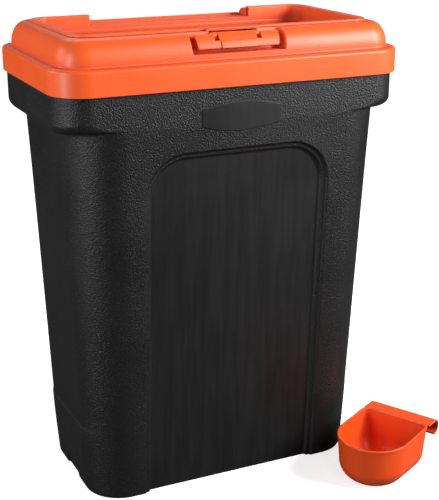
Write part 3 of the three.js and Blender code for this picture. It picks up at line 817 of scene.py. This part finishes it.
# %% Rib grid tree
ROW_SIZES = ("Count", "Gap", "Length")
RIB_SIZES = ("Height", "Thickness", "Draft")
GRID_INPUTS = {label: RIB_INPUTS[label] for label in RIB_SIZES}
for row in ("Long", "Cross"):
    GRID_INPUTS |= {f"{row} {label}": RIB_INPUTS[label] for label in ROW_SIZES}
GRID_INPUTS |= {"Place": ("Vector", (0, 0, 0)), "Material": ("Material", None)}
tree, given, result = new_tree("rib_grid", "GeometryNodeTree", GRID_INPUTS, {"Ribs": "Geometry"})
crossed = add(tree, "GeometryNodeMeshBoolean", operation="UNION", solver="EXACT")[0]
for row, turn in (("Long", 0.0), ("Cross", math.pi / 2)):
    values = {label: given[f"{row} {label}"] for label in ROW_SIZES}
    values |= {label: given[label] for label in RIB_SIZES} | {"Turn": turn}
    ribs = add(tree, "GeometryNodeGroup", values, node_tree=rib_row)["Ribs"]
    feed(tree, crossed.node.inputs, {"Mesh 2": ribs})
placed = add(tree, "GeometryNodeTransform", {"Geometry": crossed, "Translation": given["Place"]})[0]
feed(tree, result, {"Ribs": with_material(tree, placed, given["Material"])})
rib_grid = tree
print("rib grid:", list(GRID_INPUTS))

# %% [markdown]
# ## Webs under the shoulder
# Small webs tie the frame's inner well wall to its outer shoulder, so that the frame doesn't
# twist when it is pressed on. They follow the well wall round. So the tree takes a path, sets
# webs along it at a steady distance, and turns each one across the path. A row could be placed
# by hand, but the path keeps the webs square to the wall round its corners.

# %% Web path tree
WEB_INPUTS = {
    "Path": ("Geometry", None),
    "Gap": ("Float", 0.03),
    "Depth": ("Float", 0.01),
    "Height": ("Float", 0.008),
    "Thickness": ("Float", 0.0014),
    "Material": ("Material", None),
}
tree, given, result = new_tree(
    "webs_round_path", "GeometryNodeTree", WEB_INPUTS, {"Webs": "Geometry"}
)
path = add(tree, "GeometryNodeMeshToCurve", {"Mesh": given["Path"]})[0]
spaced = add(
    tree, "GeometryNodeCurveToPoints", {"Curve": path, "Length": given["Gap"]}, mode="LENGTH"
)
size = vector(tree, given["Depth"], given["Thickness"], given["Height"])
web = add(tree, "GeometryNodeMeshCube", {"Size": size})[0]
across = add(
    tree,
    "FunctionNodeAlignRotationToVector",
    {"Vector": spaced["Tangent"]},
    axis="Y",
    pivot_axis="Z",
)[0]
copies = {"Points": spaced["Points"], "Instance": web, "Rotation": across}
spread = add(tree, "GeometryNodeInstanceOnPoints", copies)[0]
feed(tree, result, {"Webs": with_material(tree, spread, given["Material"])})
webs_tree = tree
print("webs round a path:", len(tree.nodes), "nodes")

# %% [markdown]
# ## Moulding grain
# The black plastic has the fine pebbled skin of a spark-eroded mould. At this size each pebble
# is barely visible, but its top catches the light. The group puts out a height for a bump and a
# mask for flecks, painted glints that lighten the colour on the pebbles' tops. Real displacement
# would cost millions of faces.

# %% Grain group
def object_place(tree):
    """Where a point lies on its own piece."""
    return add(tree, "ShaderNodeTexCoord")["Object"]


def noise(tree, scale, detail=2.0, stretch=(1, 1, 1)):
    """Noise on the piece's own coordinates, stretched along its axes."""
    drawn = add(tree, "ShaderNodeMapping", {"Vector": object_place(tree), "Scale": stretch})[0]
    inputs = {"Vector": drawn, "Scale": scale, "Detail": detail}
    return add(tree, "ShaderNodeTexNoise", inputs)[0]


GRAIN_INPUTS = {
    "Pebbles": ("Float", 620.0), "Fleck Start": ("Float", 0.56), "Fleck Full": ("Float", 0.72),
}
tree, given, result = new_tree(
    "moulding_grain", "ShaderNodeTree", GRAIN_INPUTS, {"Height": "Float", "Fleck": "Float"}
)
pebbles = noise(tree, given["Pebbles"], 1.5)
cell_scale = maths(tree, "MULTIPLY", given["Pebbles"], 0.8)
cell_inputs = {"Vector": object_place(tree), "Scale": cell_scale}
cells = add(tree, "ShaderNodeTexVoronoi", cell_inputs, feature="SMOOTH_F1")["Distance"]
domes = maths(tree, "MULTIPLY", maths(tree, "SUBTRACT", 1.0, cells), 0.5)
# Painted glints: the highest pebbles become flecks of lighter colour.
fleck = remap(tree, pebbles, given["Fleck Start"], given["Fleck Full"])
feed(tree, result, {"Height": maths(tree, "ADD", domes, pebbles), "Fleck": fleck})
grain_group = tree
print("grain pebbles about", round(1000 / GRAIN_INPUTS["Pebbles"][1], 1), "mm")

# %% [markdown]
# ## Edge wear
# Moulded edges are never sharp, and handling polishes and pales them first. A Bevel node
# rounds the normal near an edge without any new faces. How far that normal leans from the
# face's own gives a mask of the edges, broken up with noise so that wear isn't even.

# %% Edge group
EDGE_INPUTS = {
    "Width": ("Float", 0.0008), "Patchiness": ("Float", 90.0), "Strength": ("Float", 2.2),
}
tree, given, result = new_tree(
    "edge_wear", "ShaderNodeTree", EDGE_INPUTS, {"Mask": "Float", "Normal": "Vector"}
)
rounded = add(tree, "ShaderNodeBevel", {"Radius": given["Width"]}, samples=6)[0]
face_normal = add(tree, "ShaderNodeNewGeometry")["Normal"]
match = add(tree, "ShaderNodeVectorMath", {0: rounded, 1: face_normal}, operation="DOT_PRODUCT")
lean = maths(tree, "SUBTRACT", 1.0, match["Value"])
patches = noise(tree, given["Patchiness"])
worn = maths(tree, "MULTIPLY", maths(tree, "MULTIPLY", lean, given["Strength"]), patches)
feed(tree, result, {"Mask": add(tree, "ShaderNodeClamp", {0: worn})[0], "Normal": rounded})
edge_group = tree
print("edges rounded over", EDGE_INPUTS["Width"][1] / MM, "mm")

# %% [markdown]
# ## Crevice shade
# Gutters, pockets and stepped borders get painted shade, so that they look deeper than their
# few millimetres, as little light gets into them. An Ambient Occlusion node measures how shut in
# each point is, within the piece alone, and the group turns that into a mask. A painted mask
# would have to follow every groove by hand.

# %% Crevice group
CREVICE_INPUTS = {"Reach": ("Float", 0.012), "Open": ("Float", 0.85), "Closed": ("Float", 0.35)}
tree, given, result = new_tree(
    "crevice_shade", "ShaderNodeTree", CREVICE_INPUTS, {"Mask": "Float"}
)
around = {"Distance": given["Reach"]}
openness = add(tree, "ShaderNodeAmbientOcclusion", around, samples=6, only_local=True)["AO"]
# The mask of painted shade: 0 where a point is open, 1 where it is shut in.
feed(tree, result, {"Mask": remap(tree, openness, given["Open"], given["Closed"])})
crevice_shade_group = tree
print("crevices measured over", CREVICE_INPUTS["Reach"][1] / MM, "mm")

# %% [markdown]
# ## Mottle, streaks and dust
# Three quieter effects break up the even plastic. Mottle is the slow change in gloss where
# the melt cooled at different speeds. Streaks are the fine upright draw marks on the panel
# where the mould was polished. Dust is the little that settles on what faces up. Each could
# be painted by hand, but as groups they fit any piece and need no image.

# %% Mottle, streak and dust groups
def noise_group(name, scale, stretch):
    """A group that puts out a soft mask from one noise, stretched along the axes."""
    inputs = {"Scale": ("Float", scale), "Low": ("Float", 0.35), "High": ("Float", 0.65)}
    tree, given, result = new_tree(name, "ShaderNodeTree", inputs, {"Mask": "Float"})
    soft = noise(tree, given["Scale"], 3.0, stretch)
    feed(tree, result, {"Mask": remap(tree, soft, given["Low"], given["High"])})
    return tree


mottle_group = noise_group("soft_mottle", 16.0, (1, 1, 1))
streak_group = noise_group("draw_streaks", 150.0, (1, 1, 0.035))
brush_group = noise_group("brushed_turning", 900.0, (1, 0.05, 0.05))

DUST_INPUTS = {"Scale": ("Float", 220.0), "Amount": ("Float", 0.05)}
tree, given, result = new_tree(
    "settled_dust", "ShaderNodeTree", DUST_INPUTS, {"Mask": "Float"}
)
facing = add(tree, "ShaderNodeNewGeometry")["Normal"]
upward = remap(tree, add(tree, "ShaderNodeSeparateXYZ", {0: facing})[2], 0.6)
dust = maths(tree, "MULTIPLY", upward, noise(tree, given["Scale"], 4.0))
feed(tree, result, {"Mask": maths(tree, "MULTIPLY", dust, given["Amount"])})
dust_group = tree
print("groups:", [tree.name for tree in bpy.data.node_groups])

# %% [markdown]
# ## Plastics
# All the mouldings are polypropylene, a slightly waxy plastic. The same recipe makes each one:
# a base colour that painted glints on the grain, wear and dust lighten and painted shade darkens
# in crevices, a roughness that the mottle moves and that rises in crevices, and a bump from the
# grain on top of the rounded edge normal. Only the values differ, so one function takes them.
# The gloss itself is set on the shader's own sockets.

# %% Plastic materials
DUST_GREY = (0.5, 0.48, 0.45, 1)
CREVICE_ROUGHNESS = 0.85
GLINT_SHARE = 0.25
STREAKED_GRAIN = 0.3


def mixed(tree, share, first, second):
    """A colour between two colours."""
    return add(tree, "ShaderNodeMix", {0: share, 6: first, 7: second}, data_type="RGBA")[2]


def group(tree, node_tree, **inputs):
    """A shader group placed in a material with its own values."""
    return add(tree, "ShaderNodeGroup", inputs, node_tree=node_tree)


def new_material(name):
    material = bpy.data.materials.new(name)
    material.use_nodes = True
    return material, material.node_tree, material.node_tree.nodes["Principled BSDF"].inputs


def plastic(name, colours, rough, gloss, grain, edge=0.0008, reach=0.012, streaks=None):
    """A moulded plastic.

    colours are the plain one, the fleck one (painted glints on the grain, and the streaks where
    streaks are given), the worn one and the deep one (painted shade in crevices); rough is the
    lowest and highest roughness, gloss holds the shader's own values, and grain the pebbles'
    size and depth.
    """
    base, fleck, worn, deep = [(*colour, 1) for colour in colours]
    material, tree, shader = new_material(name)
    pebbles = group(tree, grain_group, Pebbles=grain[0])
    edges = group(tree, edge_group, Width=edge)
    height = pebbles["Height"]
    # Painted glints on the grain lighten the colour towards the fleck colour.
    flecks = maths(tree, "MULTIPLY", pebbles["Fleck"], GLINT_SHARE)
    if streaks:
        drawn = group(tree, streak_group)["Mask"]
        flecks = maths(tree, "MULTIPLY", drawn, streaks)
        height = maths(tree, "ADD", maths(tree, "MULTIPLY", height, STREAKED_GRAIN), drawn)
    colour = mixed(tree, flecks, base, fleck)
    colour = mixed(tree, edges["Mask"], colour, worn)
    colour = mixed(tree, group(tree, dust_group)["Mask"], colour, DUST_GREY)
    # Painted shade: a mask of this piece's gutters, pockets and stepped borders.
    closed = group(tree, crevice_shade_group, Reach=reach)["Mask"]
    smooth = remap(tree, group(tree, mottle_group)["Mask"], 0, 1, *rough)
    relief = {"Height": height, "Distance": grain[1], "Strength": 1.0, "Normal": edges["Normal"]}
    looks = {
        # Painted shade: the colour darkens towards the deep colour where the mask is high.
        "Base Color": mixed(tree, closed, colour, deep),
        "Roughness": remap(tree, closed, 0, 1, smooth, CREVICE_ROUGHNESS),
        "Normal": add(tree, "ShaderNodeBump", relief)[0],
    }
    feed(tree, shader, looks | gloss)
    print(name, "roughness", rough)
    return material


def grey(*levels):
    return [(level, level, level) for level in levels]


# The fourth colour of each plastic is its painted shade in crevices, and reach is how far out that
# shade is measured.
BLACK_GLOSS = {"Specular IOR Level": 0.45}
tub_black = plastic(
    "grained_black",
    [(0.0045, 0.0045, 0.0048), (0.05, 0.05, 0.052), *grey(0.07, 0.0008)],
    rough=(0.4, 0.5), gloss=BLACK_GLOSS, grain=(760.0, 0.0006),
)
panel_black = plastic(
    "drawn_black",
    [(0.005, 0.005, 0.0053), (0.022, 0.022, 0.023), *grey(0.07, 0.001)],
    rough=(0.38, 0.46), gloss=BLACK_GLOSS, grain=(500.0, 0.00003), streaks=0.3,
)
ORANGE_GLOSS = {"Coat Weight": 0.12, "Coat Roughness": 0.3, "Specular IOR Level": 0.5}
# The lid's reach paints shade along the gutter at the foot of its shoulder.
lid_orange = plastic(
    "lid_orange",
    [(0.92, 0.108, 0.014), (0.97, 0.15, 0.035), (1.0, 0.26, 0.1), (0.42, 0.022, 0.001)],
    rough=(0.38, 0.47), gloss=ORANGE_GLOSS, grain=(480.0, 0.00005), reach=0.026,
)
# The scoop's long reach paints shade deep inside its cup.
scoop_orange = plastic(
    "scoop_orange",
    [(0.88, 0.078, 0.006), (0.93, 0.11, 0.02), (1.0, 0.28, 0.12), (0.5, 0.025, 0.001)],
    rough=(0.3, 0.38), gloss=ORANGE_GLOSS, grain=(480.0, 0.00002), edge=0.0015, reach=0.04,
)
seal_black = plastic(
    "seal_rubber", grey(0.012, 0.03, 0.05, 0.004),
    rough=(0.62, 0.74), gloss={"Specular IOR Level": 0.35}, grain=(800.0, 0.00005),
)

# %% [markdown]
# ## Pins
# The hinge and latch pins are drawn steel wire, cut to length. Fine lines run round them from
# the die. The brushed look comes from noise stretched across the wire, which moves the
# colour and the roughness. The cut ends are rounded by the edge group's normal alone, because
# bare steel doesn't pale as plastic does.

# %% Pin steel
pin_steel, tree, shader = new_material("pin_steel")
lines = group(tree, brush_group)["Mask"]
edges = group(tree, edge_group, Width=0.0003)
relief = {"Height": lines, "Distance": 0.00002, "Normal": edges["Normal"]}
looks = {
    "Base Color": mixed(tree, lines, (0.5, 0.5, 0.5, 1), (0.66, 0.65, 0.63, 1)),
    "Roughness": remap(tree, lines, 0, 1, 0.22, 0.38),
    "Normal": add(tree, "ShaderNodeBump", relief)[0],
    "Metallic": 1.0,
}
feed(tree, shader, looks)
print("materials:", [material.name for material in bpy.data.materials])

# %% [markdown]
# ## Ribs and webs made
# A modifier only carries a tree's values. They are set by each socket's identifier before the
# first evaluation, the result is taken as a plain mesh, and the modifier goes. Then the ribs
# are ordinary pieces that export like the rest.

# %% Ribs and webs made
def grown(name, tree, values, runs=()):
    """A plain mesh made by a Geometry Nodes tree, from its values by input name and any paths."""
    points, edges = [], []
    for run in runs:
        edges += [(len(points) + step, len(points) + step + 1) for step in range(len(run) - 1)]
        points += run
    piece = new_piece(name, points, [], edges)
    modifier = piece.modifiers.new(tree.name, "NODES")
    modifier.node_group = tree
    for item in tree.interface.items_tree:
        if item.in_out == "INPUT" and item.name in values:
            modifier[item.identifier] = values[item.name]
    bake_modifiers(piece)
    print(name, len(piece.data.polygons), "faces, lowest at", round(extent(piece)[0][2], 1), "mm")
    return piece


def rib_set(name, rows, material, height, thickness, draft, bottom):
    """A grid of ribs, all in millimetres. Each row has a count, a gap and a length."""
    sizes = {"Height": height * MM, "Thickness": thickness * MM, "Draft": draft}
    place = {"Place": (0, 0, (bottom + height / 2) * MM), "Material": material}
    for row, (count, gap, length) in rows.items():
        sizes |= {f"{row} Count": count, f"{row} Gap": gap * MM, f"{row} Length": length * MM}
    return grown(name, rib_grid, sizes | place)


TRAY_RIB_HEIGHT = 4.2
tray_rib_bottom = TRAY["floor"] - TRAY["wall"] + 0.1 - TRAY_RIB_HEIGHT
foot_rows = {"Long": (3, 44, 288), "Cross": (7, 44, 141)}
tray_rows = {"Long": (3, 40, 300), "Cross": (7, 45, 134)}
foot_sizes = {"height": 3.0, "thickness": 2.2, "draft": 0.25, "bottom": 0.3}
tray_sizes = {"height": TRAY_RIB_HEIGHT, "thickness": 1.8, "draft": 0.3, "bottom": tray_rib_bottom}
foot_ribs = rib_set("foot_ribs", foot_rows, tub_black, **foot_sizes)
tray_ribs = rib_set("tray_ribs", tray_rows, lid_orange, **tray_sizes)
print("tray ribs hang", TRAY_RIB_HEIGHT, "mm below the flap's tray")

# %% Webs made
WEB = {"grow": 6.0, "depth": 8.4, "low": 496.0, "high": 517.0, "front_x": 66.0, "back_x": 118.0}


def web_run(side):
    """Half the web path, from front to back, clear of the pocket and the notch."""
    z = (WEB["low"] + WEB["high"]) / 2
    ring = shape_ring(WELL, WEB["grow"], z)
    corner = CORNER_STEPS + 1
    back, back_left, front_left, front = [ring[corner * n:corner * (n + 1)] for n in range(4)]
    run = front + back if side > 0 else front_left[::-1] + back_left[::-1]
    reach = WELL["y"] + WEB["grow"]
    start = Vector((side * WEB["front_x"], -reach, z))
    return [start, *run, Vector((side * WEB["back_x"], reach, z))]


web_values = {
    "Gap": 34 * MM,
    "Depth": WEB["depth"] * MM,
    "Height": (WEB["high"] - WEB["low"]) * MM,
    "Thickness": 1.8 * MM,
    "Material": lid_orange,
}
frame_webs = grown("frame_webs", webs_tree, web_values, [web_run(1), web_run(-1)])

# %% [markdown]
# ## Finishes given to the pieces
# Each piece carries its material in its own slot. The panel's sunk face was polished in the
# mould while the rest was eroded, so its faces get the smoother black, picked by how deep
# they lie behind the sloping front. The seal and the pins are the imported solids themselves,
# and only their materials change.

# %% Finishes given
def finish(piece, *materials):
    piece.data.materials.clear()
    for material in materials:
        piece.data.materials.append(material)


def is_polished(face):
    """Whether a face of the tub lies on the sunk panel or on the badge."""
    x, y, z = face.center / MM
    deep = y - front_y(z) > PANEL_DEPTH - 0.6 and face.normal.y < -0.9
    badge = y < -COLLAR_Y - 0.5 and abs(z - BADGE["z"]) < BADGE["end_height"]
    return deep and abs(x) < PANEL_HALF - 7 or badge and abs(x) < BADGE["half"] + 0.5


finish(tub, tub_black, panel_black)
for face in tub.data.polygons:
    face.material_index = int(is_polished(face))
print("polished faces:", sum(face.material_index for face in tub.data.polygons))
for piece in (lid_shell, flap, latch):
    finish(piece, lid_orange)
finish(scoop, scoop_orange)
finish(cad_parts["flap_seal"], seal_black)
for node in ("hinge_pin_left", "hinge_pin_right", "latch_pin"):
    finish(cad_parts[node], pin_steel)

# %% [markdown]
# ## Bodies
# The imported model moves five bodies: the tub, the lid frame that lifts off it, the flap, the
# latch and the scoop. Every piece rides the body that carries the real part, and stands for
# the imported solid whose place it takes.

# %% Bodies given
RIDES = (
    (tub, "tub", "bin_body", "tub_plastic"),
    (foot_ribs, "tub", None, "tub_plastic"),
    (lid_shell, "frame", "lid_frame", "lid_plastic"),
    (frame_webs, "frame", None, "lid_plastic"),
    (flap, "flap", "lid_flap", "lid_plastic"),
    (tray_ribs, "flap", None, "lid_plastic"),
    (latch, "latch", "lid_latch", "lid_plastic"),
    (scoop, "scoop", "scoop", "lid_plastic"),
)
for piece, body, node, slot in RIDES:
    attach(piece, body)
    if node:
        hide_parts(node)
print("pieces:", [piece.name for piece, *_ in RIDES])

# %% [markdown]
# ## Floor, world and lamps
# The bin stands on a pale floor in a white studio. A soft lamp in front and to the right
# models the forms, a narrow strip at the left draws the long highlight down the rounded
# corner, fills light the narrow side and the front, and a high lamp behind lights the lid's
# top. The floor and the world are white where the camera sees them, the floor by a painted
# glow, but dimmer to the surfaces, because an all-white surround would wash out the black
# plastic. Round the bin the floor's glow is weaker, so that it keeps its shadow and the bin
# stands on it.

# %% Floor
FLOOR_HALF = 6000
floor_material, tree, shader = new_material("studio_floor")
place = object_place(tree)
pale = mixed(tree, noise(tree, 3.0), (0.8, 0.8, 0.8, 1), (0.84, 0.84, 0.84, 1))
away = add(tree, "ShaderNodeVectorMath", {0: place}, operation="LENGTH")["Value"]
seen = add(tree, "ShaderNodeLightPath")["Is Camera Ray"]
looks = {
    "Base Color": mixed(tree, seen, (0.12, 0.12, 0.12, 1), pale),
    # Painted glow: for the camera alone the floor shines white, weaker near the bin.
    "Emission Color": maths(tree, "MULTIPLY", remap(tree, away, 0.1, 0.6, 0.6, 1.0), seen),
    "Emission Strength": 1.0,
    "Roughness": 0.9,
    "Specular IOR Level": 0.1,
}
feed(tree, shader, looks)
around = ((-1, -1), (1, -1), (1, 1), (-1, 1))
corners = [Vector((x * FLOOR_HALF, y * FLOOR_HALF, 0)) for x, y in around]
floor = new_piece("studio_floor", corners, [(0, 1, 2, 3)])
finish(floor, floor_material)
print("floor", 2 * FLOOR_HALF * MM, "m across")

# %% World and lamps
WORLD_LIGHT = 0.045
world = bpy.data.worlds.new("studio")
bpy.context.scene.world = world
world.use_nodes = True
tree = world.node_tree
seen = add(tree, "ShaderNodeLightPath")["Is Camera Ray"]
light = {"Color": (1, 1, 1, 1), "Strength": remap(tree, seen, 0, 1, WORLD_LIGHT, 1.0)}
feed(tree, tree.nodes["Background"].inputs, light)


def lamp(name, place, target, size, power):
    """An area lamp that faces a point."""
    data = bpy.data.lights.new(name, "AREA")
    data.shape = "RECTANGLE"
    (data.size, data.size_y), data.energy = size, power
    made = bpy.data.objects.new(name, data)
    bpy.context.scene.collection.objects.link(made)
    facing = (Vector(target) - Vector(place)).to_track_quat("-Z", "Y").to_matrix().to_4x4()
    made.matrix_world = Matrix.Translation(place) @ facing


MIDDLE = (0, 0, 0.3)
lamp("key", (1.02, -0.93, 0.92), (0.14, -0.1, 0.4), (0.7, 0.7), 37)
lamp("left_strip", (-1.5, -0.45, 0.6), MIDDLE, (0.3, 1.1), 15)
lamp("left_fill", (-1.6, 0.7, 1.0), MIDDLE, (1.0, 1.0), 10)
lamp("front_fill", (0.0, -1.8, 1.5), MIDDLE, (0.8, 0.8), 3)
lamp("back_high", (0.3, 1.5, 1.9), MIDDLE, (1.2, 1.2), 10)
